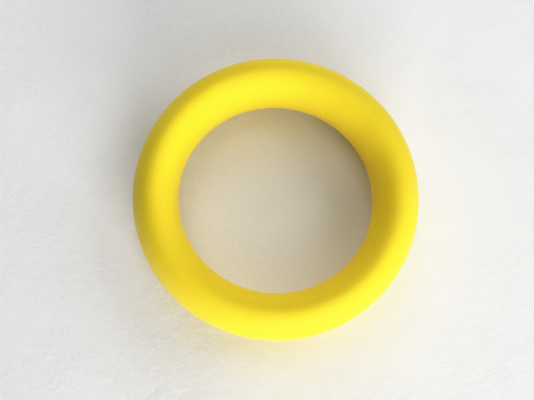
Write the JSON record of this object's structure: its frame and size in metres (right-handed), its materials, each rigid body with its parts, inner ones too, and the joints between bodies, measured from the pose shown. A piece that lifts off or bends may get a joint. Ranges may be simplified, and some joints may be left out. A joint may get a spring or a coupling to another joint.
{
  "type": "juggling ring",
  "caption": "Thick soft throwing and juggling ring: a yellow air-filled rubber tube of tall oval section, with a bladder and a needle valve hidden on the lower inside.",
  "frame": {"origin": "middle of the ring: on its axis, at the height of the moulded parting line", "axes": "+Z along the ring's axis, up when the ring lies flat; +X towards the valve, which is in the lower half"},
  "size_m": [0.18, 0.18, 0.05],
  "materials": {
    "cover_rubber": "matte, fine-grained, slightly dusty yellow rubber",
    "bladder_rubber": "satin black butyl rubber dusted with talc",
    "valve_rubber": "satin moulded yellow rubber",
    "core_rubber": "soft matte black self-sealing rubber"
  },
  "bodies": {
    "root": {"upper_cover_half": "cover_rubber", "lower_cover_half": "cover_rubber", "air_bladder": "bladder_rubber", "valve_body": "valve_rubber", "valve_core": "core_rubber"}
  },
  "joints": []
}
